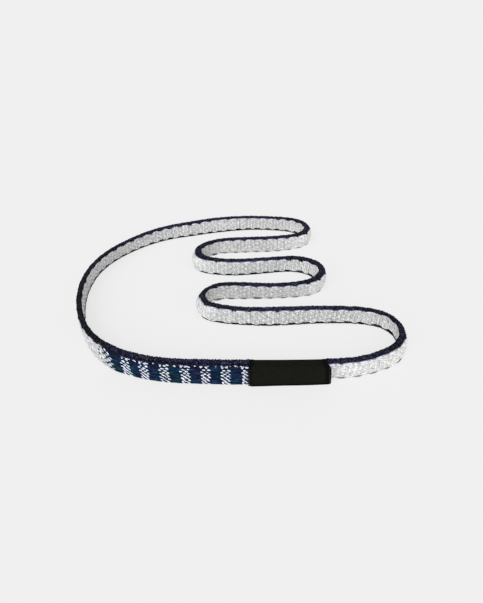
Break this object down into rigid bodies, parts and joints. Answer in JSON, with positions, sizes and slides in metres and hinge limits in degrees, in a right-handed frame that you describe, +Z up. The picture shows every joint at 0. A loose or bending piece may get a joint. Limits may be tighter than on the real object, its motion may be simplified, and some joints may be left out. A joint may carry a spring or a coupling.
{
  "type": "climbing sling",
  "caption": "Closed loop of narrow woven webbing, lapped and bar-tacked to itself, with a folded label over the lap, standing on edge in folds",
  "frame": {"origin": "on the surface that the sling stands on, under the middle of its outline", "axes": "+Z up, across the webbing's width; -Y towards the near run with the lap and label; +X along that run, to the label's side"},
  "size_m": [0.1334, 0.1202, 0.0087],
  "materials": {
    "webbing": "matt white polyethylene fibre weave",
    "edge_yarn": "near-black navy edge yarns",
    "lower_edge_yarn": "dark navy yarns between white floats",
    "joint_yarn": "blue weave of the joint",
    "tack_thread": "white tacking thread",
    "label": "black label tape, bare",
    "label_thread": "black sewing thread"
  },
  "bodies": {
    "root": {"webbing_strap": "webbing", "upper_edge_yarns": "edge_yarn", "lower_edge_yarns": "lower_edge_yarn", "joint_cover_outer": "joint_yarn", "joint_cover_inner": "joint_yarn", "joint_tack_01": "tack_thread", "joint_tack_02": "tack_thread", "joint_tack_03": "tack_thread", "joint_tack_04": "tack_thread", "joint_tack_05": "tack_thread", "joint_tack_06": "tack_thread", "joint_tack_07": "tack_thread", "joint_tack_08": "tack_thread", "joint_tack_09": "tack_thread", "joint_tack_10": "tack_thread", "joint_tack_11": "tack_thread", "label_strip": "label", "label_stitching_left": "label_thread", "label_stitching_right": "label_thread"}
  },
  "joints": []
}
